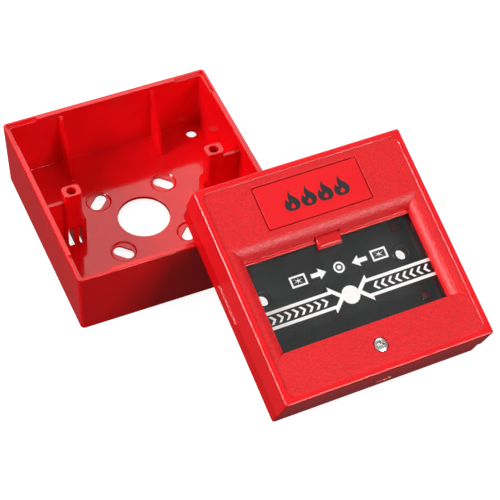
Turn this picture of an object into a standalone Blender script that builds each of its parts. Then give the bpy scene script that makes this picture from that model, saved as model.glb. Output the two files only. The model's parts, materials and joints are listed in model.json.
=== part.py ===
"""Manual call point: open surface-mount back box, with the front unit leaning on one corner of it.

Run with: blender --background --python part.py
Metres, +Z up. The bench is z = 0, and the origin is the bottom centre of the whole layout.

Two modelling frames are used, both as empties:
  back_box_frame    centre of the box's rear face, +Z towards the open rim
  front_unit_frame  centre of the front unit's rear plane, +Y towards its top edge, +Z out of the face
Every solid is drawn in its frame's coordinates. A moving piece hangs on an empty on its joint axis.
"""
import math

import bmesh
import bpy
from mathutils import Euler, Matrix, Vector

MM = 0.001
GAP = 0.3 * MM                      # clearance between solids that touch on the real object
WELD = 0.2 * MM                     # how far joined shapes run into each other

# ---- back box -------------------------------------------------------------------------------
BOX_RIM = 86.0 * MM                 # outer width at the rim
BOX_FOOT = 84.0 * MM                # outer width at the rear face, 1 degree of draft a side
BOX_HEIGHT = 30.0 * MM
BOX_WALL = 2.2 * MM
BOX_FLOOR = 2.5 * MM                 # height of the inner floor
BACK_RECESS = (38.0 * MM, 1.2 * MM)  # the rear face is hollowed inside this half width, this deep
BOX_CORNER_R = 1.5 * MM
RIM_LEDGE_DEPTH = 1.2 * MM          # the rim steps down on its inner half near each corner
RIM_LEDGE_RUN = 13.5 * MM
CABLE_HOLE_R = 10.45 * MM
SLOT_OFFSET = 14.0 * MM             # wall screw slots, in X and in Y from the centre
SLOT_LENGTH = 8.6 * MM
SLOT_WIDTH = 4.6 * MM
SLOT_DISH_R = 5.4 * MM
SLOT_DISH_DEPTH = 0.55 * MM
DRAIN_HOLE_R = 2.2 * MM
DRAIN_HOLE_AT = 34.9 * MM
SCREW_PITCH = 59.4 * MM             # front unit fixing screws, across the width
PILLAR_SIZE = (7.2 * MM, 5.6 * MM)
PILLAR_Y = 0.5 * MM
CORE_HALF_X = 2.7 * MM              # the pillars are cored out at the foot, through the floor
PILLAR_TOP = BOX_HEIGHT - GAP
PILLAR_HOLE_R = 1.9 * MM
PILLAR_FOOT_TOP = 14.6 * MM
WEB_TOP = 24.6 * MM
GUSSET_X = 19.5 * MM
GUSSET_TOP = 27.5 * MM
GUSSET_REACH = 11.7 * MM

# ---- front unit -----------------------------------------------------------------------------
UNIT_SIDE = 87.6 * MM                # the cover stands a little proud of the box
UNIT_DEPTH = 21.2 * MM              # rear plane to face
PARTING = 8.1 * MM                  # height of the line between base and cover
COVER_WALL = 2.0 * MM
COVER_CORNER_R = 0.9 * MM
COVER_EDGE_R = 0.7 * MM              # round the face
COVER_ROOF = 18.9 * MM              # underside of the cover's face
PANEL_DROP = 0.3 * MM               # the grained panel lies this far below the plain border
PANEL_HALF = 41.3 * MM
PANEL_CORNER_R = 2.6 * MM
WINDOW_HALF_X = 35.2 * MM
WINDOW_BOTTOM = -24.9 * MM
WINDOW_TOP = 11.9 * MM              # front edge of the glossy ledge under the roll
SURROUND_FLOOR = 15.0 * MM          # underside of the window surround
ROLL_AXIS = (18.6 * MM, 15.4 * MM)  # (y, z) of the roll along the window's top
LEDGE_TOP = 15.9 * MM
CHANNEL_HALF_X = 40.3 * MM
CHANNEL_FLOOR = 16.7 * MM
CHANNEL_CORNER_R = 4.5 * MM
LABEL_CENTRE_Y = 29.25 * MM
LABEL_SIZE = (44.6 * MM, 18.1 * MM)
LABEL_DEPTH = 1.0 * MM
LABEL_GROOVE = 0.55 * MM            # the gap left round the label plate
COVER_SCREW_Y = -33.7 * MM
HINGE_AXIS = (UNIT_SIDE / 2, PARTING)   # (y, z)

BASE_HALF = 43.3 * MM
BASE_WALL = 2.0 * MM
NOTCH_DEPTH = 0.6 * MM              # pry notches along the parting line
DECK = (3.5 * MM, 4.8 * MM)         # the base's inner floor, bottom and top
PLATE = (DECK[1] + GAP, 6.2 * MM)   # the black backing plate
PLATE_Y = (-28.2 * MM, 15.6 * MM)
PLATE_HALF_X = 37.6 * MM
PLATE_LIP_TOP = 11.7 * MM
PLATE_HOLE_R = 2.25 * MM
CLIP_X = 32.2 * MM
CLIP_Y = (-18.8 * MM, 11.0 * MM)

PANE_HALF_X = 38.6 * MM
PANE_Y = (-28.0 * MM, 14.6 * MM)
PANE_Z = (13.5 * MM, 14.7 * MM)

CATCH_AXIS = (19.5 * MM, 13.0 * MM)     # (y, z)
CATCH_PIN_R = 0.75 * MM
CATCH_BORE_R = CATCH_PIN_R + GAP
TAB_HALF_X = 4.9 * MM
TAB_SIDE_R = 0.7 * MM
TAB_TIP_Y = 9.0 * MM
TAB_TOP = 17.1 * MM
LUG_X = (7.2 * MM, 8.8 * MM)
LUG_R = 1.7 * MM

SWITCH_LOW = Vector((-9.9, 22.9, 5.1)) * MM
SWITCH_HIGH = Vector((9.9, 33.1, 11.5)) * MM
SWITCH_SCREW_X = 6.4 * MM
PLUNGER_Z = 8.3 * MM
BLADE_X = (-7.5 * MM, 0.0, 7.5 * MM)
BLADE_Z = 8.3 * MM

BLOCK_LOW = Vector((-8.5, -1.0, -6.8)) * MM
BLOCK_HIGH = Vector((8.5, 9.0, 3.2)) * MM
WAY_X = 4.2 * MM                    # the terminal block's two ways lie at + and - this
LEAD_R = 0.55 * MM

# ---- layout on the bench --------------------------------------------------------------------
BOX_AT = Vector((-25.838, 38.110, 0.0)) * MM
UNIT_AT = Vector((22.362, -30.590, 17.514)) * MM
UNIT_TILT, UNIT_ROLL, UNIT_YAW = (math.radians(a) for a in (20.73, 3.17, 2.0))


def clear_scene():
    for thing in list(bpy.data.objects):
        bpy.data.objects.remove(thing, do_unlink=True)


def collection(name):
    made = bpy.data.collections.new(name)
    bpy.context.scene.collection.children.link(made)
    return made


def material(name, colour, roughness, metallic=0.0, alpha=1.0):
    made = bpy.data.materials.new(name)
    made.use_nodes = True
    shader = made.node_tree.nodes["Principled BSDF"]
    shader.inputs["Base Color"].default_value = (*colour, 1.0)
    shader.inputs["Roughness"].default_value = roughness
    shader.inputs["Metallic"].default_value = metallic
    shader.inputs["Alpha"].default_value = alpha
    return made


# ---- frames ---------------------------------------------------------------------------------

def frame(name, parent=None, at=(0, 0, 0), turn=None):
    """An empty that pieces hang on; a joint's frame sits on the joint's axis."""
    empty = bpy.data.objects.new(name, None)
    PARTS.objects.link(empty)
    empty.parent = parent
    empty.location = at
    if turn:
        empty.rotation_mode = "YXZ"
        empty.rotation_euler = turn
    return empty


def hang(thing, on):
    """Parent a piece drawn in its unit's coordinates, also when it hangs on a joint's frame."""
    thing.parent = on
    thing.location = -Vector(on.location) if on.parent else (0, 0, 0)
    return thing


# ---- shapes: each returns a bmesh in the frame's coordinates ----------------------------------

def box(low, high):
    shape = bmesh.new()
    size = Vector(high) - Vector(low)
    place = Matrix.Translation((Vector(high) + Vector(low)) / 2) @ Matrix.Diagonal((*size, 1.0))
    bmesh.ops.create_cube(shape, size=1.0, matrix=place)
    return shape


AXIS_TURN = {
    "Z": Matrix.Identity(4),
    "X": Matrix(((0, 0, 1, 0), (1, 0, 0, 0), (0, 1, 0, 0), (0, 0, 0, 1))),
    "Y": Matrix(((1, 0, 0, 0), (0, 0, -1, 0), (0, 1, 0, 0), (0, 0, 0, 1))),
}


def rod(radius, low, high, at=(0, 0), axis="Z", sides=32, high_radius=None):
    """A cylinder or cone; at is (x, y) for axis Z and (y, z) for axis X."""
    shape = bmesh.new()
    place = Matrix.Translation((at[0], at[1], (low + high) / 2))
    bmesh.ops.create_cone(
        shape, cap_ends=True, segments=sides, depth=high - low, radius1=radius,
        radius2=radius if high_radius is None else high_radius, matrix=AXIS_TURN[axis] @ place)
    return shape


def frustum(foot, rim, low, high):
    """A square block with draft: its widths at the foot and at the rim."""
    shape = bmesh.new()
    place = Matrix.Translation((0, 0, (low + high) / 2)) @ Matrix.Rotation(math.pi / 4, 4, "Z")
    bmesh.ops.create_cone(
        shape, cap_ends=True, segments=4, depth=high - low,
        radius1=foot / math.sqrt(2), radius2=rim / math.sqrt(2), matrix=place)
    return shape


def prism(outlines, low, high, axis="Z"):
    """Closed outlines, filled and extruded; the second and later ones are holes.

    Outlines are (x, y) for axis Z, (y, z) for axis X and (x, z) for axis Y.
    """
    curve = bpy.data.curves.new("outline", "CURVE")
    curve.dimensions = "2D"
    curve.fill_mode = "BOTH"
    curve.extrude = (high - low) / 2
    for points in outlines:
        spline = curve.splines.new("POLY")
        spline.points.add(len(points) - 1)
        for spot, (u, v) in zip(spline.points, points):
            spot.co = (u, v, 0, 1)
        spline.use_cyclic_u = True
    drawn = bpy.data.objects.new("outline", curve)
    CUTTERS.objects.link(drawn)
    solid = bpy.data.meshes.new_from_object(drawn.evaluated_get(bpy.context.evaluated_depsgraph_get()))
    shape = bmesh.new()
    shape.from_mesh(solid)
    bmesh.ops.remove_doubles(shape, verts=shape.verts, dist=1e-6)
    middle = (low + high) / 2 if axis != "Y" else -(low + high) / 2
    bmesh.ops.transform(shape, matrix=AXIS_TURN[axis] @ Matrix.Translation((0, 0, middle)), verts=shape.verts)
    bmesh.ops.recalc_face_normals(shape, faces=shape.faces)
    bpy.data.objects.remove(drawn)
    bpy.data.curves.remove(curve)
    bpy.data.meshes.remove(solid)
    return shape


def arc(centre, radius, start, end, steps):
    """Points along an arc, in degrees, both ends included."""
    turns = [math.radians(start + (end - start) * i / steps) for i in range(steps + 1)]
    return [(centre[0] + radius * math.cos(a), centre[1] + radius * math.sin(a)) for a in turns]


def rounded_square(half_x, half_y, radius, centre=(0, 0), steps=4):
    points = []
    for quarter, (sx, sy) in enumerate(((1, 1), (-1, 1), (-1, -1), (1, -1))):
        middle = (centre[0] + sx * (half_x - radius), centre[1] + sy * (half_y - radius))
        points += arc(middle, radius, 90 * quarter, 90 * quarter + 90, steps)
    return points


def stadium(length, width, centre, angle):
    """A slot's outline, its long side turned by angle in degrees."""
    reach = (length - width) / 2
    along = Vector((math.cos(math.radians(angle)), math.sin(math.radians(angle)))) * reach
    middle = Vector(centre)
    return (arc(middle + along, width / 2, angle - 90, angle + 90, 8)
            + arc(middle - along, width / 2, angle + 90, angle + 270, 8))


def round_edges(shape, radius, chosen, segments=3):
    """Round the edges for which chosen(edge) is true."""
    edges = [edge for edge in shape.edges if chosen(edge)]
    bmesh.ops.bevel(shape, geom=edges, offset=radius, offset_type="OFFSET",
                    segments=segments, profile=0.5, affect="EDGES", clamp_overlap=True)
    return shape


def upright(edge):
    run = edge.verts[0].co - edge.verts[1].co
    return abs(run.z) > 0.9 * run.length


def level_at(height):
    return lambda edge: all(abs(v.co.z - height) < 1e-6 for v in edge.verts)


# ---- objects --------------------------------------------------------------------------------

def solid(name, shape, on, finish):
    """Make a named sub-part from a shape."""
    mesh = bpy.data.meshes.new(name)
    shape.to_mesh(mesh)
    shape.free()
    mesh.materials.append(finish)
    mesh.shade_smooth()
    mesh.set_sharp_from_angle(angle=math.radians(35))
    thing = bpy.data.objects.new(name, mesh)
    PARTS.objects.link(thing)
    return hang(thing, on)


def combine(target, operation, *shapes):
    """Add to, take from or intersect a sub-part with helper shapes, one Boolean each."""
    for shape in shapes:
        name = f"{target.name}_{operation.lower()}"
        mesh = bpy.data.meshes.new(name)
        shape.to_mesh(mesh)
        shape.free()
        helper = bpy.data.objects.new(name, mesh)
        CUTTERS.objects.link(helper)
        helper.parent = target.parent
        helper.location = target.location
        helper.hide_render = True
        helper.display_type = "WIRE"
        step = target.modifiers.new(name, "BOOLEAN")
        step.operation = operation
        step.solver = "EXACT"
        step.object = helper
    return target


def cut(target, *shapes):
    return combine(target, "DIFFERENCE", *shapes)


def join(target, *shapes):
    return combine(target, "UNION", *shapes)


def turned(name, profile, on, finish, at=(0, 0), steps=24):
    """A turned piece: (radius, height) points down its outer side, with a Screw modifier."""
    mesh = bpy.data.meshes.new(name)
    points = [(radius, 0, height) for radius, height in profile]
    mesh.from_pydata(points, [(i, i + 1) for i in range(len(points) - 1)], [])
    mesh.materials.append(finish)
    thing = bpy.data.objects.new(name, mesh)
    PARTS.objects.link(thing)
    hang(thing, on)
    thing.location = Vector(thing.location) + Vector((*at, 0))
    spin = thing.modifiers.new("spin", "SCREW")
    spin.steps = steps
    spin.render_steps = steps
    spin.use_merge_vertices = True
    spin.merge_threshold = 1e-5
    spin.use_smooth_shade = True
    return thing


def wire(name, points, radius, on, finish):
    """A round wire or lead along points, with filled caps."""
    curve = bpy.data.curves.new(name, "CURVE")
    curve.dimensions = "3D"
    curve.bevel_depth = radius
    curve.bevel_resolution = 2
    curve.use_fill_caps = True
    spline = curve.splines.new("POLY")
    spline.points.add(len(points) - 1)
    for spot, place in zip(spline.points, points):
        spot.co = (*place, 1)
    curve.materials.append(finish)
    thing = bpy.data.objects.new(name, curve)
    PARTS.objects.link(thing)
    return hang(thing, on)


def smooth_route(knots, per_span=5):
    """Points along a smooth curve through the knots (Catmull-Rom)."""
    ends = [2 * knots[0] - knots[1], *knots, 2 * knots[-1] - knots[-2]]
    points = []
    for a, b, c, d in zip(ends, ends[1:], ends[2:], ends[3:]):
        for i in range(per_span):
            t = i / per_span
            points.append(0.5 * (2 * b + (c - a) * t + (2 * a - 5 * b + 4 * c - d) * t * t
                                 + (3 * b - a - 3 * c + d) * t ** 3))
    return [*points, knots[-1]]


# ---- the back box ---------------------------------------------------------------------------

def make_back_box(on, finish):
    shell = round_edges(frustum(BOX_FOOT, BOX_RIM, 0, BOX_HEIGHT), BOX_CORNER_R, upright)
    back_box = solid("back_box", round_edges(shell, 0.4 * MM, level_at(BOX_HEIGHT), 2), on, finish)

    draft = (BOX_RIM - BOX_FOOT) / BOX_HEIGHT
    over = 1.0 * MM
    inner_foot = BOX_FOOT + draft * BOX_FLOOR - 2 * BOX_WALL
    inner_rim = BOX_RIM + draft * over - 2 * BOX_WALL
    cavity = frustum(inner_foot, inner_rim, BOX_FLOOR, BOX_HEIGHT + over)
    cut(back_box, round_edges(cavity, 1.0 * MM, upright, 2))
    cut_rim_ledges(back_box)
    for side in (-1, 1):
        add_pillar(back_box, side)
        for end in (-1, 1):
            add_gusset(back_box, side * GUSSET_X, end)
    cut_floor_holes(back_box)
    return back_box


def cut_rim_ledges(back_box):
    outer = BOX_RIM / 2 - BOX_WALL / 2
    inner = BOX_RIM / 2 - RIM_LEDGE_RUN
    for sx in (-1, 1):
        for sy in (-1, 1):
            xs, ys = sorted((sx * inner, sx * outer)), sorted((sy * inner, sy * outer))
            cut(back_box, box((xs[0], ys[0], BOX_HEIGHT - RIM_LEDGE_DEPTH), (xs[1], ys[1], BOX_HEIGHT + MM)))


def add_pillar(back_box, side):
    """A screw pillar with its web to the side wall, and the open core at its foot."""
    root = BOX_FLOOR - 0.6 * MM
    x = side * SCREW_PITCH / 2
    half_x, half_y = PILLAR_SIZE[0] / 2, PILLAR_SIZE[1] / 2
    front, back = PILLAR_Y - half_y, PILLAR_Y + half_y
    pillar = box((x - half_x, front, root), (x + half_x, back, PILLAR_TOP))
    near, wide = x - side * (half_x - MM), x - side * (half_x + 1.3 * MM)
    foot = [(near, root), (wide, root), (wide, PILLAR_FOOT_TOP - 1.6 * MM),
            (x - side * half_x, PILLAR_FOOT_TOP), (near, PILLAR_FOOT_TOP)]
    web_x = sorted((x + side * (half_x - MM), side * (BOX_FOOT / 2 - MM)))
    web = box((web_x[0], PILLAR_Y - 0.7 * MM, root), (web_x[1], PILLAR_Y + 0.7 * MM, WEB_TOP))
    foot_block = prism([foot], front + 0.5 * MM, back - 0.5 * MM, "Y")
    join(back_box, web, foot_block, round_edges(pillar, 1.5 * MM, upright))
    cut(back_box, rod(PILLAR_HOLE_R, 13 * MM, PILLAR_TOP + MM, (x, PILLAR_Y), sides=20))

    sill, lintel = BOX_FLOOR + 0.2 * MM, 10.8 * MM
    hole_front, hole_back = front - 1.2 * MM, back + 1.8 * MM
    core = [(front - 2 * MM, lintel), (front - 2 * MM, sill), (hole_front, sill), (hole_front, -MM),
            (hole_back, -MM), (hole_back, sill), (back + 3 * MM, sill), (back + 3 * MM, lintel)]
    cut(back_box, prism([core], x - CORE_HALF_X, x + CORE_HALF_X, "X"))
    rib_x = sorted((x - side * 1.7 * MM, x + side * 0.6 * MM))
    join(back_box, box((rib_x[0], front + 0.3 * MM, BACK_RECESS[1] + 0.3 * MM),
                       (rib_x[1], back - 0.3 * MM, lintel + 0.5 * MM)),
         box((rib_x[0], hole_front - 0.5 * MM, BACK_RECESS[1] + 0.3 * MM),
             (rib_x[1], hole_back + 0.5 * MM, BOX_FLOOR - 0.3 * MM)))


def add_gusset(back_box, x, end):
    """A triangular rib that stiffens the back or front wall."""
    wall = BOX_FOOT / 2 - MM
    foot = BOX_FOOT / 2 - BOX_WALL - GUSSET_REACH
    root = BOX_FLOOR - 0.6 * MM
    outline = [(end * wall, GUSSET_TOP), (end * wall, root), (end * foot, root),
               (end * foot, BOX_FLOOR + MM), (end * (wall - 1.4 * MM), GUSSET_TOP)]
    join(back_box, prism([outline], x - 0.7 * MM, x + 0.7 * MM, "X"))


def cut_floor_holes(back_box):
    half, deep = BACK_RECESS
    cut(back_box, box((-half, -half, -MM), (half, half, deep)),
        rod(CABLE_HOLE_R, -MM, BOX_FLOOR + MM, sides=48),
        rod(DRAIN_HOLE_R, -MM, BOX_FLOOR + MM, (DRAIN_HOLE_AT, DRAIN_HOLE_AT), sides=20))
    for sx in (-1, 1):
        for sy in (-1, 1):
            centre = (sx * SLOT_OFFSET, sy * SLOT_OFFSET)
            slot = prism([stadium(SLOT_LENGTH, SLOT_WIDTH, centre, -45 * sx * sy)], -MM, BOX_FLOOR + MM)
            dish = rod(SLOT_DISH_R - 0.8 * MM, BOX_FLOOR - SLOT_DISH_DEPTH, BOX_FLOOR + 0.1 * MM, centre,
                       high_radius=SLOT_DISH_R)
            cut(back_box, dish, slot)


# ---- the front cover and what is on it --------------------------------------------------------

def window_cutter():
    """The space of the window: below the roll, between the side channels, above the lower panel."""
    over, under = UNIT_DEPTH + 2 * MM, SURROUND_FLOOR - MM
    face = UNIT_DEPTH - PANEL_DROP
    drop = face - ROLL_AXIS[1]
    ledge_angle = 180 - math.degrees(math.asin((LEDGE_TOP - ROLL_AXIS[1]) / drop))
    roll = [(ROLL_AXIS[0], over), *arc(ROLL_AXIS, drop, 90, ledge_angle, 10), (WINDOW_TOP, LEDGE_TOP),
            (WINDOW_TOP, under), (-UNIT_SIDE / 2, under), (-UNIT_SIDE / 2, over)]
    cutter = prism([roll], -UNIT_SIDE / 2, UNIT_SIDE / 2, "X")

    run, fall = CHANNEL_HALF_X - WINDOW_HALF_X, face - CHANNEL_FLOOR
    slope = [(CHANNEL_HALF_X - run * math.sin(a), face - fall * (1 - math.cos(a)))
             for a in (math.radians(15 * i) for i in range(7))]
    right = [(CHANNEL_HALF_X, over), *slope, (WINDOW_HALF_X, under)]
    left = [(-x, z) for x, z in reversed(right)]
    channels = prism([right + left], -UNIT_SIDE / 2, UNIT_SIDE / 2, "Y")

    reach = CHANNEL_HALF_X
    inner = reach - CHANNEL_CORNER_R
    low = WINDOW_BOTTOM - CHANNEL_CORNER_R
    plan = [(reach, UNIT_SIDE / 2), (-reach, UNIT_SIDE / 2),
            *arc((-inner, low), CHANNEL_CORNER_R, 180, 90, 6), *arc((inner, low), CHANNEL_CORNER_R, 90, 0, 6)]
    return cutter, channels, prism([plan], under - MM, over + MM)


def make_front_cover(on, finish):
    half, inner = UNIT_SIDE / 2, UNIT_SIDE / 2 - COVER_WALL
    shell = round_edges(box((-half, -half, PARTING), (half, half, UNIT_DEPTH)), COVER_CORNER_R, upright)
    cover = solid("front_cover", round_edges(shell, COVER_EDGE_R, level_at(UNIT_DEPTH), 3), on, finish)
    cavity = box((-inner, -inner, PARTING - MM), (inner, inner, COVER_ROOF))
    cut(cover, round_edges(cavity, 0.8 * MM, upright, 2))
    # A fine step along the bottom side, below the face's edge.
    step = box((-half - MM, -half - MM, PARTING - MM), (half + MM, 0.25 * MM - half, UNIT_DEPTH - 1.4 * MM))
    cut(cover, step)

    roof = COVER_ROOF + WELD
    surround = box((-inner - WELD, -27.4 * MM, SURROUND_FLOOR), (inner + WELD, 20.4 * MM, roof))
    screw_boss = rod(3.4 * MM, 10.8 * MM, roof, (0, COVER_SCREW_Y))
    join(cover, surround, screw_boss)
    panel = [rounded_square(PANEL_HALF, PANEL_HALF, PANEL_CORNER_R)]
    cut(cover, prism(panel, UNIT_DEPTH - PANEL_DROP, UNIT_DEPTH + MM))

    cutter, channels, plan = window_cutter()
    window = solid("window_space", cutter, on, finish)
    combine(window, "INTERSECT", channels, plan)
    PARTS.objects.unlink(window)
    CUTTERS.objects.link(window)
    window.hide_render = True
    window.display_type = "WIRE"
    opening = cover.modifiers.new("window", "BOOLEAN")
    opening.operation = "DIFFERENCE"
    opening.solver = "EXACT"
    opening.object = window

    half_way = TAB_HALF_X + 0.6 * MM
    tab_way = box((-half_way, 11.0 * MM, SURROUND_FLOOR - MM), (half_way, 21.0 * MM, 17.9 * MM))
    label = [rounded_square(LABEL_SIZE[0] / 2, LABEL_SIZE[1] / 2, 0.5 * MM, (0, LABEL_CENTRE_Y), 2)]
    face = UNIT_DEPTH - PANEL_DROP
    cut(cover, tab_way, prism(label, face - LABEL_DEPTH, UNIT_DEPTH + MM),
        rod(3.0 * MM, face - 1.2 * MM, UNIT_DEPTH + MM, (0, COVER_SCREW_Y)),
        rod(1.8 * MM, PARTING, UNIT_DEPTH + MM, (0, COVER_SCREW_Y), sides=20))
    for side in (-1, 1):
        join(cover, hinge_hook(side * 25 * MM))
    return cover


def hinge_hook(x):
    """A tongue inside the cover's top wall that reaches behind the base's wall."""
    wall = UNIT_SIDE / 2 - COVER_WALL + 0.2 * MM
    outline = [(wall, 9.0 * MM), (wall, 11.0 * MM), (38.9 * MM, 11.0 * MM), (38.9 * MM, 5.7 * MM),
               (40.1 * MM, 5.7 * MM), (40.1 * MM, 9.0 * MM)]
    return prism([outline], x - 4 * MM, x + 4 * MM, "X")


def make_label_plate(on, finish):
    face = UNIT_DEPTH - PANEL_DROP
    outline = rounded_square(LABEL_SIZE[0] / 2 - LABEL_GROOVE, LABEL_SIZE[1] / 2 - LABEL_GROOVE, 0.5 * MM,
                             (0, LABEL_CENTRE_Y), 2)
    plate = prism([outline], face - LABEL_DEPTH + GAP, face)
    return solid("label_plate", round_edges(plate, 0.25 * MM, level_at(face), 2), on, finish)


def make_cover_screw(on, finish):
    seat = UNIT_DEPTH - PANEL_DROP - 1.2 * MM + GAP
    dome = [(2.7 * MM * math.sin(a), seat + 0.45 * MM + 0.6 * MM * math.cos(a))
            for a in (math.radians(18 * i) for i in range(6))]
    shank = [(1.35 * MM, seat), (1.35 * MM, 7.6 * MM), (0.9 * MM, 7.1 * MM), (0, 7.1 * MM)]
    profile = [*dome, (2.7 * MM, seat), *shank]
    screw = turned("cover_screw", profile, on, finish, (0, COVER_SCREW_Y))
    depth = seat - 0.2 * MM
    for length, width in ((1.5 * MM, 0.42 * MM), (0.42 * MM, 1.5 * MM)):
        cut(screw, box((-length, -width, depth), (length, width, UNIT_DEPTH + MM)))
    return screw


# ---- the base and the fixed pieces in it ------------------------------------------------------

def make_front_base(on, finish):
    half, inner = BASE_HALF, BASE_HALF - BASE_WALL
    ring = [rounded_square(half, half, 1.0 * MM), rounded_square(inner, inner, 0.8 * MM, steps=2)]
    base = solid("front_base", prism(ring, 0, PARTING - GAP), on, finish)
    overlap = 0.2 * MM
    deck = box((-inner - overlap, -inner - overlap, DECK[0]), (inner + overlap, inner + overlap, DECK[1]))
    lip_out, lip_in, lip_end = 40.5 * MM, 39.3 * MM, 37.0 * MM
    lip = [(-lip_out, lip_end), (-lip_out, -lip_out), (lip_out, -lip_out), (lip_out, lip_end),
           (lip_in, lip_end), (lip_in, -lip_in), (-lip_in, -lip_in), (-lip_in, lip_end)]
    rest = box((-14 * MM, 27.9 * MM, 2.75 * MM), (6 * MM, 29.3 * MM, DECK[0] + overlap))
    join(base, deck, prism([lip], DECK[0] + overlap, 9.9 * MM), rest,
         rod(3.3 * MM, DECK[1] - overlap, 10.5 * MM, (0, COVER_SCREW_Y)))
    # The lip and the wall are one thickness below the parting line.
    wide = inner + overlap
    root = [(-wide, lip_end), (-wide, -wide), (wide, -wide), (wide, lip_end),
            (lip_in, lip_end), (lip_in, -lip_in), (-lip_in, -lip_in), (-lip_in, lip_end)]
    join(base, prism([root], DECK[0] + overlap, PARTING - 0.6 * MM))
    add_clips_and_lugs(base)
    cut_base_openings(base)
    return base


def add_clips_and_lugs(base):
    foot = DECK[1] - 0.2 * MM
    for side in (-1, 1):
        for y in CLIP_Y:
            hook = [(side * x * MM, z * MM) for x, z in
                    ((30.9, 4.6), (33.2, 4.6), (33.2, 7.3), (31.4, 7.3),
                     (29.9, 6.9), (29.9, 6.5), (30.9, 6.5))]
            join(base, prism([hook], y - 1.4 * MM, y + 1.4 * MM, "Y"))
        lug = [(CATCH_AXIS[0] - LUG_R, foot), (CATCH_AXIS[0] + LUG_R, foot),
               *arc(CATCH_AXIS, LUG_R, 0, 180, 10)]
        low, high = sorted((side * LUG_X[0], side * LUG_X[1]))
        join(base, prism([lug], low, high, "X"))
        cut(base, rod(CATCH_BORE_R, low - MM, high + MM, CATCH_AXIS, "X", 20))


def cut_base_openings(base):
    half = BASE_HALF
    top = PARTING + MM
    cut(base, rod(1.8 * MM, DECK[0] - MM, 11.0 * MM, (0, COVER_SCREW_Y), sides=20),
        box((12.0 * MM, 17.5 * MM, DECK[0] - MM), (18.5 * MM, 24.5 * MM, DECK[1] + MM)),
        box((-half - MM, -5.3 * MM, 5.1 * MM), (NOTCH_DEPTH - half, 11.2 * MM, top)),
        box((half - NOTCH_DEPTH, -5.3 * MM, 5.1 * MM), (half + MM, 11.2 * MM, top)),
        box((-1.0 * MM, -half - MM, 4.5 * MM), (5.5 * MM, NOTCH_DEPTH - half, top)))
    for side in (-1, 1):
        through = (DECK[0] - MM, DECK[1] + MM)
        fixing_hole = rod(PLATE_HOLE_R + 0.15 * MM, *through, (side * SCREW_PITCH / 2, 0), sides=24)
        pilot_hole = rod(1.1 * MM, *through, (side * SWITCH_SCREW_X, switch_screw_y(side)), sides=16)
        cut(base, fixing_hole, pilot_hole)


def make_backing_plate(on, finish):
    """The black plate under the pane: a shallow tray with a raised lip along each side."""
    half, lip = PLATE_HALF_X, 1.2 * MM
    section = [(-half, PLATE[0]), (half, PLATE[0]), (half, PLATE_LIP_TOP), (half - lip, PLATE_LIP_TOP),
               (half - lip, PLATE[1]), (lip - half, PLATE[1]), (lip - half, PLATE_LIP_TOP),
               (-half, PLATE_LIP_TOP)]
    plate = solid("backing_plate", prism([section], *PLATE_Y, "Y"), on, finish)
    for side in (-1, 1):
        cut(plate, rod(PLATE_HOLE_R, DECK[1], PLATE[1] + MM, (side * SCREW_PITCH / 2, 0), sides=32))
        for y in CLIP_Y:
            near, far = sorted((side * (CLIP_X - 1.7 * MM), side * (CLIP_X + 1.6 * MM)))
            cut(plate, box((near, y - 1.8 * MM, DECK[1]), (far, y + 1.8 * MM, PLATE[1] + MM)))
    return plate


# ---- pane, catch and switch -------------------------------------------------------------------

def make_glass_pane(on, finish):
    pane = box((-PANE_HALF_X, PANE_Y[0], PANE_Z[0]), (PANE_HALF_X, PANE_Y[1], PANE_Z[1]))
    return solid("glass_pane", round_edges(pane, 0.2 * MM, lambda edge: True, 1), on, finish)


def tab_sides(edge):
    """The tab's upper side edges, left and right."""
    ends = [vert.co for vert in edge.verts]
    same_side = abs(ends[0].x - ends[1].x) < GAP
    return same_side and all(end.z > 15.5 * MM and end.y < 17.1 * MM for end in ends)


def make_catch_lever(on, finish):
    """The red catch: its tab lies on the pane's top edge, its paddle on the switch plunger."""
    y, z = CATCH_AXIS
    nose = arc((TAB_TIP_Y + 1.3 * MM, TAB_TOP - 1.3 * MM), 1.3 * MM, 90, 180, 4)
    tab = [(17.2 * MM, 15.6 * MM), (17.2 * MM, TAB_TOP), *nose, (TAB_TIP_Y, 15.35 * MM),
           (TAB_TIP_Y + 0.3 * MM, 15.05 * MM), (TAB_TIP_Y + 1.6 * MM, 15.05 * MM),
           (TAB_TIP_Y + 2.2 * MM, 15.6 * MM)]
    tab = round_edges(prism([tab], -TAB_HALF_X, TAB_HALF_X, "X"), TAB_SIDE_R, tab_sides, 2)
    lever = solid("catch_lever", tab, on, finish)
    neck = [(16.0 * MM, 15.6 * MM), (y - 1.5 * MM, 14.2 * MM), (y + 1.5 * MM, 14.2 * MM),
            (y + 1.0 * MM, TAB_TOP - 0.4 * MM), (16.0 * MM, TAB_TOP - 0.2 * MM)]
    half = 4.2 * MM
    join(lever, prism([neck], -half, half, "X"), rod(2.3 * MM, -half, half, CATCH_AXIS, "X", 24),
         box((-3 * MM, y + 0.7 * MM, z - 5.7 * MM), (3 * MM, y + 2.1 * MM, z)))
    cut(lever, rod(CATCH_BORE_R, -half - MM, half + MM, CATCH_AXIS, "X", 20))
    return lever


def make_catch_spring(on, finish):
    """A torsion spring round the pin, beside the lever's hub."""
    y, z = CATCH_AXIS
    radius, start, length, turns, per_turn = 1.55 * MM, 4.8 * MM, 1.9 * MM, 3.25, 12
    count = int(turns * per_turn)
    coil = []
    for i in range(count + 1):
        a = 2 * math.pi * i / per_turn
        coil.append(Vector((start + length * i / count, y + radius * math.sin(a), z - radius * math.cos(a))))
    first = coil[0] + Vector((0, -4.0 * MM, 0))
    last = coil[-1] + Vector((0, 0, -5.0 * MM))
    return wire("catch_spring", [first, *coil, last], 0.22 * MM, on, finish)


def switch_screw_y(side):
    return 28.0 * MM + side * 2.6 * MM


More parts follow.
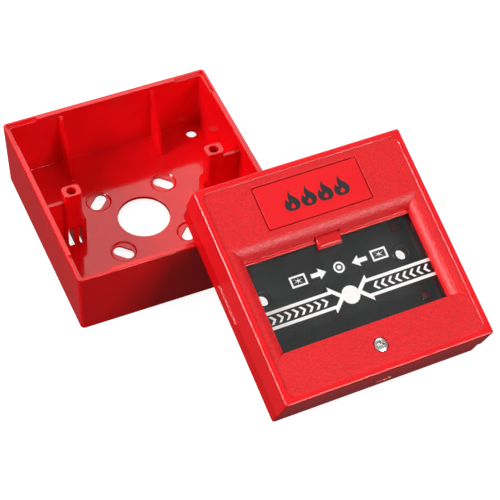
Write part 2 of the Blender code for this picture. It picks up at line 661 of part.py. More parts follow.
def make_switch(on, plunger_on, case_finish, button_finish, metal_finish):
    low, high = SWITCH_LOW, SWITCH_HIGH
    case = solid("switch_case", round_edges(box(low, high), 0.4 * MM, upright, 2), on, case_finish)
    cut(case, box((-1.8 * MM, low.y - MM, PLUNGER_Z - 1.6 * MM),
                  (1.8 * MM, low.y + 3.3 * MM, PLUNGER_Z + 1.6 * MM)))
    for name, x in zip(("common", "open", "closed"), BLADE_X):
        cut(case, box((x - 1.5 * MM, high.y - 2.0 * MM, BLADE_Z - 0.6 * MM),
                      (x + 1.5 * MM, high.y + MM, BLADE_Z + 0.6 * MM)))
        blade = box((x - 1.2 * MM, high.y - 1.7 * MM, BLADE_Z - 0.25 * MM),
                    (x + 1.2 * MM, high.y + 3.4 * MM, BLADE_Z + 0.25 * MM))
        made = solid(f"switch_terminal_{name}", blade, on, metal_finish)
        cut(made, rod(0.5 * MM, BLADE_Z - MM, BLADE_Z + MM, (x, high.y + 1.2 * MM), sides=12))
    for side, name in ((-1, "left"), (1, "right")):
        at = (side * SWITCH_SCREW_X, switch_screw_y(side))
        cut(case, rod(1.2 * MM, low.z - MM, high.z + MM, at, sides=16))
        top = high.z + GAP
        profile = [(0, top + 1.0 * MM), (1.2 * MM, top + 1.0 * MM), (1.7 * MM, top + 0.6 * MM), (1.7 * MM, top),
                   (0.8 * MM, top), (0.8 * MM, 3.9 * MM), (0, 3.9 * MM)]
        turned(f"switch_screw_{name}", profile, on, metal_finish, at, 16)
    plunger = box((-1.5 * MM, low.y - 1.0 * MM, PLUNGER_Z - 1.3 * MM),
                  (1.5 * MM, low.y + 2.0 * MM, PLUNGER_Z + 1.3 * MM))
    solid("switch_plunger", round_edges(plunger, 0.3 * MM, lambda e: all(v.co.y < low.y for v in e.verts), 2),
          plunger_on, button_finish)


def make_terminal_block(on, block_finish, metal_finish):
    low, high = BLOCK_LOW, BLOCK_HIGH
    block = solid("terminal_block", round_edges(box(low, high), 0.5 * MM, upright, 2), on, block_finish)
    middle_y = (low.y + high.y) / 2
    for side, name in ((-1, "left"), (1, "right")):
        x = side * WAY_X
        cut(block, rod(2.4 * MM, low.z - MM, -1.6 * MM, (x, middle_y), sides=24),
            box((x - 1.7 * MM, low.y - MM, -1.4 * MM), (x + 1.7 * MM, high.y + MM, 2.0 * MM)))
        profile = [(0, -2.0 * MM), (1.2 * MM, -2.0 * MM), (1.2 * MM, -4.6 * MM), (2.0 * MM, -4.6 * MM),
                   (2.0 * MM, -6.2 * MM), (0, -6.2 * MM)]
        screw = turned(f"terminal_screw_{name}", profile, on, metal_finish, (x, middle_y), 20)
        cut(screw, box((-3 * MM, -0.35 * MM, -7.0 * MM), (3 * MM, 0.35 * MM, -5.5 * MM)))
        bar = box((x - 1.4 * MM, low.y + 2.0 * MM, -1.1 * MM), (x + 1.4 * MM, high.y - 2.0 * MM, -0.3 * MM))
        solid(f"terminal_bar_{name}", round_edges(bar, 0.2 * MM, upright, 1), on, metal_finish)


def make_leads(on, red, black):
    """The two leads from the switch blades, round its end, through the deck, to the terminal block."""
    for name, blade_x, way_x, level, shift, dip, finish in (
            ("lead_common", BLADE_X[0], WAY_X, 9.9, 0.0, 0.9, red),
            ("lead_switched", BLADE_X[1], -WAY_X, 7.6, 1.8, -1.3, black)):
        start = Vector((blade_x, SWITCH_HIGH.y + 3.7 * MM + LEAD_R, BLADE_Z))
        knots = [start, start + Vector((1.2, 1.1, level - 8.3)) * MM,
                 Vector((8.6, 38.8, level)) * MM, Vector((12.6 + shift, 36.2, level)) * MM,
                 Vector((13.2 + shift, 28.0, level - 0.6)) * MM, Vector((13.4 + shift, 22.4, 6.2)) * MM,
                 Vector((13.6 + shift, 20.2, 2.6)) * MM, Vector((12.2 + shift, 15.5 + 0.7 * shift, dip)) * MM,
                 Vector((way_x + 1.0 * MM, 12.8 * MM, dip * MM)), Vector((way_x, 9.4 * MM, 0.7 * MM)),
                 Vector((way_x, 6.6 * MM, 0.7 * MM))]
        wire(name, smooth_route(knots), LEAD_R, on, finish)


# ---- everything -------------------------------------------------------------------------------

def make_call_point():
    red_gloss = material("red_gloss_plastic", (0.62, 0.008, 0.012), 0.22)
    red_grain = material("red_grained_plastic", (0.72, 0.016, 0.018), 0.42)
    red_base = material("red_base_plastic", (0.66, 0.010, 0.014), 0.35)
    black = material("black_plastic", (0.02, 0.02, 0.022), 0.4)
    clear = material("clear_glass", (0.9, 0.93, 0.92), 0.03, alpha=0.2)
    steel = material("plated_steel", (0.75, 0.75, 0.74), 0.25, 1.0)
    brass = material("plated_brass", (0.78, 0.7, 0.5), 0.3, 1.0)
    dark_case = material("switch_black_plastic", (0.03, 0.03, 0.03), 0.5)
    button = material("button_red_plastic", (0.6, 0.05, 0.03), 0.4)
    green = material("green_plastic", (0.03, 0.3, 0.12), 0.45)
    red_pvc = material("red_lead_pvc", (0.6, 0.02, 0.02), 0.5)
    black_pvc = material("black_lead_pvc", (0.02, 0.02, 0.02), 0.5)

    box_frame = frame("back_box_frame", at=BOX_AT)
    unit = frame("front_unit_frame", at=UNIT_AT, turn=(UNIT_TILT, UNIT_ROLL, UNIT_YAW))
    hinge = frame("cover_hinge_axis", unit, (0, *HINGE_AXIS))
    screw_axis = frame("cover_screw_axis", unit, (0, COVER_SCREW_Y, UNIT_DEPTH))
    pane_guide = frame("pane_guide", unit, (0, 0, PANE_Z[1]))
    catch = frame("catch_axis", unit, (0, *CATCH_AXIS))
    plunger_guide = frame("plunger_guide", unit, (0, SWITCH_LOW.y, PLUNGER_Z))

    make_back_box(box_frame, red_gloss)
    make_front_base(unit, red_base)
    make_backing_plate(unit, black)
    make_front_cover(hinge, red_grain)
    make_label_plate(hinge, red_gloss)
    make_cover_screw(screw_axis, steel)
    make_glass_pane(pane_guide, clear)
    make_catch_lever(catch, red_gloss)
    solid("catch_pin", rod(CATCH_PIN_R, -9.4 * MM, 9.4 * MM, CATCH_AXIS, "X", 20), unit, steel)
    make_catch_spring(unit, steel)
    make_switch(unit, plunger_guide, dark_case, button, brass)
    make_terminal_block(unit, green, steel)
    make_leads(unit, red_pvc, black_pvc)


clear_scene()
PARTS = collection("manual_call_point")
CUTTERS = collection("cutters")
make_call_point()
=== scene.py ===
"""Looks for the manual call point: materials, printed marks, floor, light and camera.

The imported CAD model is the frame. Everything made here is placed in the front unit's own
coordinates (x to the right, y to its top edge, z out of its face), which come from its joints.
"""
import json
import math

import bmesh
import bpy
from mathutils import Matrix, Vector


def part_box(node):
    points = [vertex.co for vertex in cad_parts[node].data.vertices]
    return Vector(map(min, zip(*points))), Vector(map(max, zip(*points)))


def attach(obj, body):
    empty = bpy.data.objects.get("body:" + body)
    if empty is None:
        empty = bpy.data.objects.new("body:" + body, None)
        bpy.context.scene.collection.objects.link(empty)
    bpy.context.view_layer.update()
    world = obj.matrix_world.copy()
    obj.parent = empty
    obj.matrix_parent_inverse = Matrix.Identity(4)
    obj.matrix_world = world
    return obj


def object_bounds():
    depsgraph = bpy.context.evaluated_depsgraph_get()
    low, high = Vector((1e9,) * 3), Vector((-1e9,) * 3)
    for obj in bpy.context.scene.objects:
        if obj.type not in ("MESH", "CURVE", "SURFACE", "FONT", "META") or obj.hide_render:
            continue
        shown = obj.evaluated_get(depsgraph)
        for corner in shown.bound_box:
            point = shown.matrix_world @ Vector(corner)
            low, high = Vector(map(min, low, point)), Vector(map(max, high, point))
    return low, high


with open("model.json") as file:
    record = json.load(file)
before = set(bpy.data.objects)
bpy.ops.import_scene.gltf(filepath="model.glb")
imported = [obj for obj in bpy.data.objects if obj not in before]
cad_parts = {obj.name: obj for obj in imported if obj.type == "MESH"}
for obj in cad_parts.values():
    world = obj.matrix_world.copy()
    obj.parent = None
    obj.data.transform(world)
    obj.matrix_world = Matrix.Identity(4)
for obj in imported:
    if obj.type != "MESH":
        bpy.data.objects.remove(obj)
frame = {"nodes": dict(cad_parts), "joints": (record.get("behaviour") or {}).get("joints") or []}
CAD_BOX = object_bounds()

MM = 0.001

# ---- where things are, in the front unit's coordinates (as part.py draws them) -----------------
HINGE_Y = 43.8 * MM                 # the cover's hinge axis
HINGE_Z = 8.1 * MM
FACE = 20.9 * MM                    # the grained panel and the label plate
PANEL_HALF = 41.25 * MM
GRAIN_FLOOR = 15.95 * MM            # the ledge and the window's edge below this are plain
PANE_TOP = 14.7 * MM
PLATE_TOP = 6.2 * MM
# CLIP_REACH and CLIP_TOP_Y, with PLATE_TOP, bound the painted shade on the base.
CLIP_REACH = 36.0 * MM              # the base's snap clips stand inside this half width
CLIP_TOP_Y = 18.0 * MM              # and below this
SCREW_PITCH = 59.4 * MM
LABEL_Y = 29.25 * MM
PRINT_THICKNESS = 0.04 * MM

# ---- printed marks on the pane -----------------------------------------------------------------
DISC_AT = (-0.15 * MM, -10.85 * MM)
DISC_RADIUS = 3.62 * MM
ARROW_Y = DISC_AT[1] + 0.25 * MM
CHEVRONS = (9.6 * MM, 3.1 * MM, 8)  # the first one's x, the step between them, how many a side
SHAFT_OUTER = 3.6 * MM              # half height of an arrow's shaft, outside its outline
SHAFT_INNER = 2.35 * MM
SHAFT_END = 37.6 * MM               # the shafts run on under the window's sides
BARB_X = 8.1 * MM
BARB_REACH = 5.35 * MM              # half the spread of an arrow's barbs
ICON_Y = 0.55 * MM
ICON_HEIGHT = 4.5 * MM
ICON_STROKE = 0.75 * MM
PANE_ICON_X = 17.2 * MM
PRESS_ICON_X = 8.7 * MM
FLAME_HEIGHT = 8.2 * MM
FLAME_FOOT_Y = LABEL_Y - 4.2 * MM
FLAME_XS = (-9.4 * MM, -2.4 * MM, 4.6 * MM, 11.6 * MM)


def unit_matrix():
    """The front unit's frame, from the cover's hinge and the way the pane is pressed."""
    joints = {joint["name"]: joint for joint in frame["joints"]}
    across = -Vector(joints["cover_hinge"]["axis"])
    out = -Vector(joints["pane_press"]["axis"])
    up = out.cross(across)
    origin = Vector(joints["cover_hinge"]["pos_m"]) - up * HINGE_Y - out * HINGE_Z
    turn = Matrix((across, up, out)).transposed().to_4x4()
    return Matrix.Translation(origin) @ turn


def box_matrix():
    low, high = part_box("back_box")
    return Matrix.Translation(((low.x + high.x) / 2, (low.y + high.y) / 2, low.z))


UNIT = unit_matrix()
BOX = box_matrix()


# ---- materials ----------------------------------------------------------------------------------

class Paint:
    """A node material, with its textures laid out in one of the two frames, in metres."""

    def __init__(self, name, place):
        self.material = bpy.data.materials.new(name)
        self.material.use_nodes = True
        self.tree = self.material.node_tree
        self.shader = self.tree.nodes["Principled BSDF"]
        coordinates = self.add("ShaderNodeTexCoord")
        mapping = self.add("ShaderNodeMapping")
        mapping.vector_type = "TEXTURE"
        mapping.inputs["Location"].default_value = place.translation
        mapping.inputs["Rotation"].default_value = place.to_euler()
        self.link(coordinates.outputs["Object"], mapping.inputs["Vector"])
        self.at = mapping.outputs["Vector"]

    def add(self, kind):
        return self.tree.nodes.new(kind)

    def link(self, source, target):
        self.tree.links.new(source, target)

    def feed(self, socket, value):
        """Connect an output, or set a plain number or colour."""
        if isinstance(value, bpy.types.NodeSocket):
            self.link(value, socket)
        else:
            socket.default_value = value

    def math(self, operation, first, second=0.0):
        node = self.add("ShaderNodeMath")
        node.operation = operation
        self.feed(node.inputs[0], first)
        self.feed(node.inputs[1], second)
        return node.outputs["Value"]

    def noise(self, size, detail=2.0, roughness=0.5, stretch=(1, 1, 1)):
        """Noise whose features are about size metres across, from 0 to 1."""
        vector = self.at
        if stretch != (1, 1, 1):
            scale = self.add("ShaderNodeVectorMath")
            scale.operation = "MULTIPLY"
            scale.inputs[1].default_value = stretch
            self.link(self.at, scale.inputs[0])
            vector = scale.outputs["Vector"]
        node = self.add("ShaderNodeTexNoise")
        node.inputs["Scale"].default_value = 1 / size
        node.inputs["Detail"].default_value = detail
        node.inputs["Roughness"].default_value = roughness
        self.link(vector, node.inputs["Vector"])
        return node.outputs["Fac"]

    def ramp(self, value, low, high, to_low=0.0, to_high=1.0):
        """Map a value from one span to another, clamped."""
        node = self.add("ShaderNodeMapRange")
        for socket, number in zip(node.inputs[1:5], (low, high, to_low, to_high)):
            self.feed(socket, number)
        self.feed(node.inputs["Value"], value)
        return node.outputs["Result"]

    def mix(self, share, first, second):
        node = self.add("ShaderNodeMix")
        node.data_type = "RGBA"
        self.feed(node.inputs["Factor"], share)
        self.feed(node.inputs["A"], first)
        self.feed(node.inputs["B"], second)
        return node.outputs["Result"]

    def axes(self):
        node = self.add("ShaderNodeSeparateXYZ")
        self.link(self.at, node.inputs["Vector"])
        return node.outputs

    def bevel(self, radius):
        """A normal that rounds every edge by a small radius."""
        node = self.add("ShaderNodeBevel")
        node.samples = 6
        node.inputs["Radius"].default_value = radius
        return node.outputs["Normal"]

    def bump(self, height, depth, normal=None):
        """Raise the surface by height (0 to 1) times depth metres."""
        node = self.add("ShaderNodeBump")
        node.inputs["Strength"].default_value = 1.0
        node.inputs["Distance"].default_value = depth
        self.feed(node.inputs["Height"], height)
        if normal is not None:
            self.link(normal, node.inputs["Normal"])
        return node.outputs["Normal"]

    def tinted(self, colour, spread, size):
        """A colour that wanders a little lighter and darker over size metres."""
        dark = tuple(channel * (1 - spread) for channel in colour)
        light = tuple(min(1.0, channel * (1 + spread)) for channel in colour)
        share = self.ramp(self.noise(size, 3.0), 0.35, 0.65)
        return self.mix(share, (*dark, 1.0), (*light, 1.0))

    def set(self, **values):
        for name, value in values.items():
            self.feed(self.shader.inputs[name.replace("_", " ")], value)
        return self.material


def moulded(name, place, colour, roughness, peel=0.004 * MM, edge=0.35 * MM,
            spread=0.04, specular=0.5):
    """Plain moulded plastic: slight colour drift, flow in the gloss and a shallow orange peel."""
    paint = Paint(name, place)
    gloss = paint.ramp(paint.noise(9 * MM, 3.0), 0.3, 0.7, roughness * 0.85, roughness * 1.2)
    skin = paint.noise(1.1 * MM, 2.0)
    return paint.set(
        Base_Color=paint.tinted(colour, spread, 14 * MM),
        Roughness=gloss, Specular_IOR_Level=specular,
        Normal=paint.bump(skin, peel, paint.bevel(edge)))


def cover_plastic(name, place, colour):
    """The cover: spark-eroded grain on the panel, roll and channels, plain gloss elsewhere."""
    paint = Paint(name, place)
    x, y, z = paint.axes()
    inside = 1.0
    for across in (x, y):
        within = paint.math("LESS_THAN", paint.math("ABSOLUTE", across), PANEL_HALF)
        inside = paint.math("MULTIPLY", inside, within)
    inside = paint.math("MULTIPLY", inside, paint.math("GREATER_THAN", z, GRAIN_FLOOR))
    inside = paint.math("MULTIPLY", inside, paint.math("LESS_THAN", z, FACE + 0.05 * MM))

    fine = paint.noise(0.8 * MM, 2.0, 0.6)
    coarse = paint.noise(1.8 * MM, 1.0)
    grain = paint.math("ADD", paint.math("MULTIPLY", fine, 0.75), paint.math("MULTIPLY", coarse, 0.25))
    pits = paint.ramp(grain, 0.36, 0.62)
    smooth_gloss = paint.ramp(paint.noise(8 * MM, 3.0), 0.3, 0.7, 0.1, 0.16)
    grain_gloss = paint.ramp(pits, 0.0, 1.0, 0.5, 0.36)
    difference = paint.math("SUBTRACT", grain_gloss, smooth_gloss)
    roughness = paint.math("ADD", paint.math("MULTIPLY", inside, difference), smooth_gloss)
    pit_colour = (colour[0] * 0.72, colour[1] * 0.6, colour[2] * 0.6, 1.0)
    pit_share = paint.math("MULTIPLY", inside, paint.ramp(pits, 0.0, 1.0, 0.8, 0.0))
    shaded = paint.mix(pit_share, paint.tinted(colour, 0.03, 15 * MM), pit_colour)
    edges = paint.bevel(0.55 * MM)
    skin = paint.bump(paint.noise(1.2 * MM), 0.003 * MM, edges)
    return paint.set(
        Base_Color=shaded, Roughness=roughness, Specular_IOR_Level=0.3,
        Normal=paint.bump(paint.math("MULTIPLY", inside, pits), 0.09 * MM, skin))


def base_plastic(name, place, colour):
    """The base: gloss red, with painted shade (a darker red) where it stands above the tray's floor.

    The painted shade is meant for the snap clips' tips, which sit deep and dim under the window. Nothing
    bounds it at the bottom, so it also covers the cover screw's post, the top of the bottom wall and the
    lip behind that wall.
    """
    paint = Paint(name, place)
    x, y, z = paint.axes()
    # The mask of the painted shade: inside the clips' reach, below their top and above the plate.
    behind = paint.math("LESS_THAN", paint.math("ABSOLUTE", x), CLIP_REACH)
    behind = paint.math("MULTIPLY", behind, paint.math("LESS_THAN", y, CLIP_TOP_Y))
    behind = paint.math("MULTIPLY", behind, paint.math("GREATER_THAN", z, PLATE_TOP))
    # Painted shade: a darker red that stands in for the shade the clip tips lie in.
    dark = tuple(channel * 0.14 for channel in colour)
    return paint.set(
        Base_Color=paint.mix(behind, paint.tinted(colour, 0.04, 14 * MM), (*dark, 1.0)),
        Roughness=paint.ramp(paint.noise(9 * MM, 3.0), 0.3, 0.7, 0.14, 0.22),
        Normal=paint.bump(paint.noise(1.1 * MM), 0.004 * MM, paint.bevel(0.35 * MM)))


def metal(name, place, colour, roughness, scratches=(1, 1, 1)):
    """Plated metal with fine drawn or tumbled marks."""
    paint = Paint(name, place)
    marks = paint.noise(0.35 * MM, 3.0, 0.6, scratches)
    return paint.set(
        Base_Color=paint.tinted(colour, 0.12, 2.5 * MM), Metallic=1.0,
        Roughness=paint.ramp(marks, 0.3, 0.7, roughness * 0.7, roughness * 1.5),
        Normal=paint.bump(marks, 0.006 * MM, paint.bevel(0.08 * MM)))


def pane_glass(name, place):
    """Clear thin glass: what is behind shows unbent, under a Fresnel reflection."""
    paint = Paint(name, place)
    tree = paint.tree
    output = tree.nodes["Material Output"]
    tree.nodes.remove(paint.shader)
    clear = paint.add("ShaderNodeBsdfTransparent")
    smears = paint.ramp(paint.noise(11 * MM, 3.0), 0.3, 0.8)
    paint.feed(clear.inputs["Color"], paint.mix(smears, (0.93, 0.96, 0.95, 1.0), (0.97, 0.985, 0.98, 1.0)))
    gloss = paint.add("ShaderNodeBsdfGlossy")
    paint.feed(gloss.inputs["Roughness"], paint.ramp(smears, 0.0, 1.0, 0.03, 0.07))
    inside = paint.add("ShaderNodeNewGeometry").outputs["Backfacing"]
    fresnel = paint.add("ShaderNodeFresnel")
    paint.feed(fresnel.inputs["IOR"], paint.ramp(inside, 0.0, 1.0, 1.5, 1 / 1.5))
    blend = paint.add("ShaderNodeMixShader")
    paint.link(fresnel.outputs["Fac"], blend.inputs["Fac"])
    paint.link(clear.outputs["BSDF"], blend.inputs[1])
    paint.link(gloss.outputs["BSDF"], blend.inputs[2])
    paint.link(blend.outputs["Shader"], output.inputs["Surface"])
    return paint.material


def ink(name, place, colour, roughness):
    """Screen-printed ink with slightly uneven cover."""
    paint = Paint(name, place)
    cover = paint.noise(0.5 * MM, 3.0)
    return paint.set(
        Base_Color=paint.tinted(colour, 0.05, 1.5 * MM),
        Roughness=paint.ramp(cover, 0.3, 0.7, roughness * 0.85, roughness * 1.15),
        Normal=paint.bump(cover, 0.006 * MM))


RED_GLOSS = (0.82, 0.003, 0.006)
RED_FACE = (0.93, 0.012, 0.018)


def plain_finishes():
    """Moulded finishes by node: colour, roughness, peel, edge, spread and specular."""
    return {
        "label_plate": ("label_red_plastic", RED_FACE, 0.34, 0.006 * MM, 0.15 * MM, 0.02, 0.25),
        "catch_lever": ("catch_red_plastic", (0.8, 0.006, 0.010), 0.07),
        "backing_plate": ("plate_black_plastic", (0.016, 0.016, 0.018), 0.42, 0.006 * MM, 0.2 * MM, 0.15),
        "switch_case": ("switch_black_plastic", (0.02, 0.02, 0.021), 0.5, 0.01 * MM, 0.12 * MM, 0.15),
        "switch_plunger": ("plunger_red_plastic", (0.55, 0.05, 0.03), 0.4),
        "terminal_block": ("block_green_plastic", (0.02, 0.26, 0.1), 0.45, 0.01 * MM, 0.15 * MM, 0.1),
        "lead_common": ("lead_red_pvc", (0.5, 0.02, 0.02), 0.45, 0.01 * MM, 0.02 * MM, 0.1),
        "lead_switched": ("lead_black_pvc", (0.02, 0.02, 0.02), 0.45, 0.01 * MM, 0.02 * MM, 0.2),
    }


def paint_frame():
    """Give every CAD node its material."""
    steel = metal("bright_plated_steel", UNIT, (0.78, 0.77, 0.75), 0.2)
    brass = metal("tinned_brass", UNIT, (0.74, 0.66, 0.46), 0.3, (1, 12, 1))
    looks = {
        "back_box": moulded("box_red_plastic", BOX, RED_GLOSS, 0.09),
        "front_base": base_plastic("base_red_plastic_with_painted_shade", UNIT, RED_GLOSS),
        "front_cover": cover_plastic("cover_red_plastic", UNIT, RED_FACE),
        "glass_pane": pane_glass("clear_pane_glass", UNIT),
        "catch_spring": metal("spring_steel", UNIT, (0.55, 0.54, 0.52), 0.28),
    }
    for node, (name, *values) in plain_finishes().items():
        looks[node] = moulded(name, UNIT, *values)
    for name in frame["nodes"]:
        if name.startswith("switch_terminal") or name.startswith("terminal_bar"):
            looks[name] = brass
        elif name not in looks:
            looks[name] = steel
    for name, node in frame["nodes"].items():
        node.data.materials.clear()
        node.data.materials.append(looks[name])


# ---- printed marks --------------------------------------------------------------------------------

def outline_piece(name, outlines, height, finish, body):
    """Flat printed shapes, from closed outlines in the unit's x and y, lying at a height."""
    curve = bpy.data.curves.new(name, "CURVE")
    curve.dimensions = "2D"
    curve.fill_mode = "BOTH"
    curve.extrude = PRINT_THICKNESS / 2
    for points in outlines:
        spline = curve.splines.new("POLY")
        spline.points.add(len(points) - 1)
        for spot, (x, y) in zip(spline.points, points):
            spot.co = (x, y, 0, 1)
        spline.use_cyclic_u = True
    drawn = bpy.data.objects.new(name, curve)
    bpy.context.scene.collection.objects.link(drawn)
    mesh = bpy.data.meshes.new_from_object(drawn.evaluated_get(bpy.context.evaluated_depsgraph_get()))
    mesh.name = name
    bpy.data.objects.remove(drawn)
    bpy.data.curves.remove(curve)
    mesh.materials.clear()
    mesh.materials.append(finish)
    piece = bpy.data.objects.new(name, mesh)
    bpy.context.scene.collection.objects.link(piece)
    piece.matrix_world = UNIT @ Matrix.Translation((0, 0, height + PRINT_THICKNESS / 2))
    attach(piece, body)


def circle(centre, radius, steps=40):
    return [(centre[0] + radius * math.cos(2 * math.pi * i / steps),
             centre[1] + radius * math.sin(2 * math.pi * i / steps)) for i in range(steps)]


def moved(points, dx=0.0, dy=0.0, scale=1.0, mirror=False):
    """Shift, size and perhaps mirror an outline left to right."""
    side = -1 if mirror else 1
    return [(side * x * scale + dx, y * scale + dy) for x, y in points]


def smooth_outline(knots, per_span=6):
    """A closed outline through the knots; a knot given twice is a sharp corner."""
    count = len(knots)
    points = []
    for i in range(count):
        a, b, c, d = (Vector(knots[(i + k) % count]) for k in (-1, 0, 1, 2))
        if b == c:
            continue
        a, d = (b if a == b else a), (c if c == d else d)
        for step in range(per_span):
            t = step / per_span
            spot = 0.5 * (2 * b + (c - a) * t + (2 * a - 5 * b + 4 * c - d) * t * t
                          + (3 * b - a - 3 * c + d) * t ** 3)
            points.append((spot.x, spot.y))
    return points


def arrow_outline(side):
    """One hollow arrow whose point ends in the disc, seen as a single stroke."""
    outer = [(SHAFT_END, SHAFT_OUTER), (BARB_X, SHAFT_OUTER), (BARB_X, BARB_REACH), (2.3 * MM, 0.0),
             (BARB_X, -BARB_REACH), (BARB_X, -SHAFT_OUTER), (SHAFT_END, -SHAFT_OUTER)]
    inner = [(SHAFT_END, -SHAFT_INNER), (7.1 * MM, -SHAFT_INNER), (4.6 * MM, 0.0),
             (7.1 * MM, SHAFT_INNER), (SHAFT_END, SHAFT_INNER)]
    return moved(outer + inner, 0.0, ARROW_Y, 1.0, side < 0)


def chevron(x, side):
    """A small chevron in an arrow's shaft, pointing at the disc."""
    half, depth, stroke = 1.6 * MM, 1.5 * MM, 1.15 * MM
    points = [(0, 0), (depth, half), (depth + stroke, half), (stroke, 0),
              (depth + stroke, -half), (depth, -half)]
    return moved(points, side * x, ARROW_Y, 1.0, side < 0)


def make_pane_print():
    white = ink("white_print", UNIT, (0.97, 0.97, 0.96), 0.5)
    on_pane = PANE_TOP + 0.5 * PRINT_THICKNESS
    outline_piece("print_disc", [circle(DISC_AT, DISC_RADIUS)], PANE_TOP + 2 * PRINT_THICKNESS,
                  white, "pane")
    first, step, count = CHEVRONS
    for side, name in ((-1, "left"), (1, "right")):
        shapes = [arrow_outline(side)]
        shapes += [chevron(first + step * i, side) for i in range(count)]
        outline_piece(f"print_arrow_{name}", shapes, on_pane, white, "pane")
    outline_piece("print_icons", icon_row(), on_pane, white, "pane")


def icon_row():
    """Whole pane, press, cracked pane: the row of marks above the arrows."""
    shapes = []
    for x in (-PANE_ICON_X, PANE_ICON_X):
        shapes += framed_pane(x)
        shapes += crack_lines(x)
    for x, mirror in ((-PRESS_ICON_X, False), (PRESS_ICON_X, True)):
        shapes.append(moved(press_arrow(), x, ICON_Y, 1.0, mirror))
    shapes += target()
    return shapes


def framed_pane(x):
    """A rectangle and its hole, as a frame round one pane."""
    outlines = []
    for inset in (0.0, ICON_STROKE):
        half_x, half_y = 3.3 * MM - inset, ICON_HEIGHT / 2 - inset
        outlines.append([(x - half_x, ICON_Y - half_y), (x + half_x, ICON_Y - half_y),
                         (x + half_x, ICON_Y + half_y), (x - half_x, ICON_Y + half_y)])
    return outlines


def crack_lines(x):
    """Cracks that run out from the middle of a pane."""
    ends = ((-1.9, 1.1), (0.2, 1.25), (2.0, 0.7), (1.5, -1.2), (-0.5, -1.25), (-2.1, -0.5))
    points = []
    for i, (ex, ey) in enumerate(ends):
        nx, ny = ends[(i + 1) % len(ends)]
        points.append((x + ex * MM, ICON_Y + ey * MM))
        points.append((x + (ex + nx) * 0.1 * MM, ICON_Y + (ey + ny) * 0.12 * MM))
    return [points]


def press_arrow():
    """A solid arrow pointing right."""
    half, shaft = ICON_HEIGHT / 2, 0.85 * MM
    return [(-3.2 * MM, -shaft), (0.2 * MM, -shaft), (0.2 * MM, -half), (3.2 * MM, 0.0),
            (0.2 * MM, half), (0.2 * MM, shaft), (-3.2 * MM, shaft)]


def target():
    """A ring with a dot, where the pane is pressed."""
    centre = (0.0, ICON_Y)
    radius = ICON_HEIGHT / 2
    return [circle(centre, radius), circle(centre, radius - ICON_STROKE), circle(centre, 0.85 * MM, 24)]


# A flame of height 1, and the hole in it.
FLAME = [(0.06, 1.0), (0.06, 1.0), (0.10, 0.76), (0.33, 0.50), (0.38, 0.24), (0.24, 0.04), (0.0, 0.0),
         (-0.26, 0.05), (-0.38, 0.26), (-0.32, 0.47), (-0.22, 0.62), (-0.22, 0.62), (-0.17, 0.50),
         (-0.10, 0.47), (-0.08, 0.72)]
FLAME_CORE = [(0.03, 0.46), (0.03, 0.46), (0.14, 0.30), (0.15, 0.16), (0.02, 0.08), (-0.12, 0.13),
              (-0.15, 0.24), (-0.05, 0.33)]


def make_label_print():
    """Black flame pictograms on the label plate, in place of a word."""
    black = ink("black_print", UNIT, (0.012, 0.01, 0.012), 0.45)
    shapes = []
    for x in FLAME_XS:
        shapes.append(moved(smooth_outline(FLAME), x, FLAME_FOOT_Y, FLAME_HEIGHT))
        core_foot = FLAME_FOOT_Y + 0.4 * MM
        shapes.append(moved(smooth_outline(FLAME_CORE), x, core_foot, FLAME_HEIGHT * 0.72))
    outline_piece("label_print", shapes, FACE + 0.5 * PRINT_THICKNESS, black, "cover")


# ---- small moulded details --------------------------------------------------------------------------

def ring_piece(name, centre, inner, outer, low, high, finish, body):
    """A low raised ring, rounded on its top edges."""
    crown = min((outer - inner) * 0.3, (high - low) * 0.5)
    section = [(inner, low), (inner, high - crown), (inner + crown, high), (outer - crown, high),
               (outer, high - crown), (outer, low)]
    shape = bmesh.new()
    steps = 48
    rings = [[shape.verts.new((r * math.cos(a), r * math.sin(a), z)) for r, z in section]
             for a in (2 * math.pi * i / steps for i in range(steps))]
    for i in range(steps):
        here, after = rings[i], rings[(i + 1) % steps]
        for j in range(len(section)):
            k = (j + 1) % len(section)
            shape.faces.new((here[j], after[j], after[k], here[k]))
    bmesh.ops.recalc_face_normals(shape, faces=shape.faces)
    mesh = bpy.data.meshes.new(name)
    shape.to_mesh(mesh)
    shape.free()
    mesh.materials.append(finish)
    mesh.shade_smooth()
    mesh.set_sharp_from_angle(angle=math.radians(50))
    piece = bpy.data.objects.new(name, mesh)
    bpy.context.scene.collection.objects.link(piece)
    piece.matrix_world = UNIT @ Matrix.Translation((*centre, 0))
    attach(piece, body)


def make_plate_rings():
    finish = frame["nodes"]["backing_plate"].data.materials[0]
    for side, name in ((-1, "left"), (1, "right")):
        centre = (side * SCREW_PITCH / 2, 0)
        ring_piece(f"plate_boss_{name}", centre, 2.9 * MM, 3.7 * MM, PLATE_TOP - 0.1 * MM,
                   PLATE_TOP + 0.45 * MM, finish, "base")


# ---- floor, light and camera --------------------------------------------------------------------------

def make_floor():
    """A pale floor that glows a little, so that shadows on it stay faint, as on a light table."""
    mesh = bpy.data.meshes.new("floor")
    reach = 3.0
    corners = [(-reach, -reach, 0), (reach, -reach, 0), (reach, reach, 0), (-reach, reach, 0)]
    mesh.from_pydata(corners, [], [(0, 1, 2, 3)])
    floor = bpy.data.objects.new("floor", mesh)
    bpy.context.scene.collection.objects.link(floor)
    floor.location.z = CAD_BOX[0].z - 0.1 * MM
    paint = Paint("pale_floor", Matrix.Identity(4))
    mesh.materials.append(paint.set(
        Base_Color=paint.tinted((0.4, 0.4, 0.4), 0.01, 300 * MM), Roughness=0.8, Specular_IOR_Level=0.0,
        Emission_Color=(1.0, 1.0, 1.0, 1.0), Emission_Strength=0.84))
    floor.visible_diffuse = False
    floor.visible_glossy = False


def area_light(name, place, target, size, power):
    lamp = bpy.data.lights.new(name, "AREA")
    lamp.shape = "RECTANGLE"
    lamp.size, lamp.size_y = size
    lamp.energy = power
    thing = bpy.data.objects.new(name, lamp)
    bpy.context.scene.collection.objects.link(thing)
    thing.location = place
    thing.rotation_mode = "QUATERNION"
    thing.rotation_quaternion = (Vector(target) - Vector(place)).to_track_quat("-Z", "Y")
    return thing


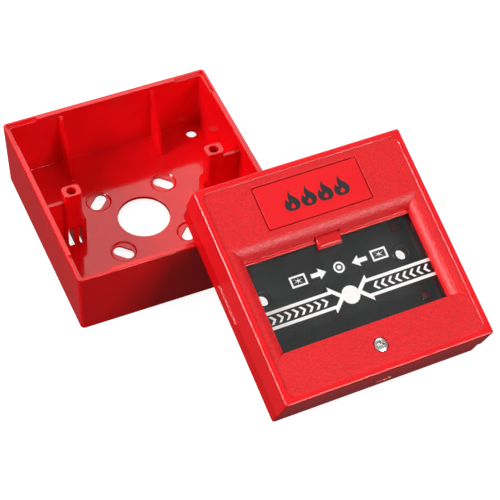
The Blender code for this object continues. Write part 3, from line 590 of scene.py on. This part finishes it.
def lamp_towards(name, direction, distance, size, radiance):
    """A softbox in a world direction from the object, by the brightness of its face."""
    middle = (CAD_BOX[0] + CAD_BOX[1]) / 2
    place = middle + Vector(direction).normalized() * distance
    return area_light(name, place, middle, size, radiance * math.pi * size[0] * size[1])


def make_light():
    lamp_towards("back_softbox", (0.28, 0.66, 0.72), 1.3, (1.4, 0.9), 1.6)
    lamp_towards("left_softbox", (-0.84, 0.02, 0.46), 1.2, (0.4, 0.45), 20.0)
    lamp_towards("front_strip", (0.457, -0.722, 0.509), 1.2, (0.5, 0.12), 30.0)
    # These two act only on gloss: they draw the bright lines along the edges.
    left_edge = lamp_towards("left_edge_strip", (-0.84, 0.06, 0.5), 1.2, (0.3, 0.8), 26.0)
    front_edge = lamp_towards("front_edge_strip", (0.36, -0.80, 0.46), 1.2, (0.55, 0.34), 24.0)
    left_edge.visible_diffuse = False
    front_edge.visible_diffuse = False
    world = bpy.data.worlds.new("studio")
    bpy.context.scene.world = world
    world.use_nodes = True
    tree = world.node_tree
    direction = tree.nodes.new("ShaderNodeTexCoord").outputs["Generated"]
    split = tree.nodes.new("ShaderNodeSeparateXYZ")
    tree.links.new(direction, split.inputs["Vector"])
    rise = tree.nodes.new("ShaderNodeMapRange")
    rise.inputs["From Min"].default_value = 0.0
    rise.inputs["From Max"].default_value = 0.9
    rise.inputs["To Min"].default_value = 0.07
    rise.inputs["To Max"].default_value = 0.4
    tree.links.new(split.outputs["Z"], rise.inputs["Value"])
    tree.links.new(rise.outputs["Result"], tree.nodes["Background"].inputs["Strength"])
    tree.nodes["Background"].inputs["Color"].default_value = (1.0, 1.0, 1.0, 1.0)
    bpy.context.scene.view_settings.view_transform = "Standard"


def make_camera():
    """The photograph's viewpoint, from the box's frame."""
    camera = bpy.data.cameras.new("camera")
    camera.lens = 140.12
    camera.sensor_width = 36.0
    camera.clip_start = 0.05
    camera.clip_end = 20.0
    thing = bpy.data.objects.new("camera", camera)
    bpy.context.scene.collection.objects.link(thing)
    right = Vector((0.915728, -0.399866, 0.039366))
    up = Vector((0.284570, 0.714601, 0.639035))
    back = Vector((-0.283659, -0.573979, 0.768170))
    turn = Matrix((right, up, back)).transposed().to_4x4()
    thing.matrix_world = BOX @ Matrix.Translation((-0.18527, -0.47207, 0.59181)) @ turn
    bpy.context.scene.camera = thing


paint_frame()
make_pane_print()
make_label_print()
make_plate_rings()
make_floor()
make_light()
make_camera()
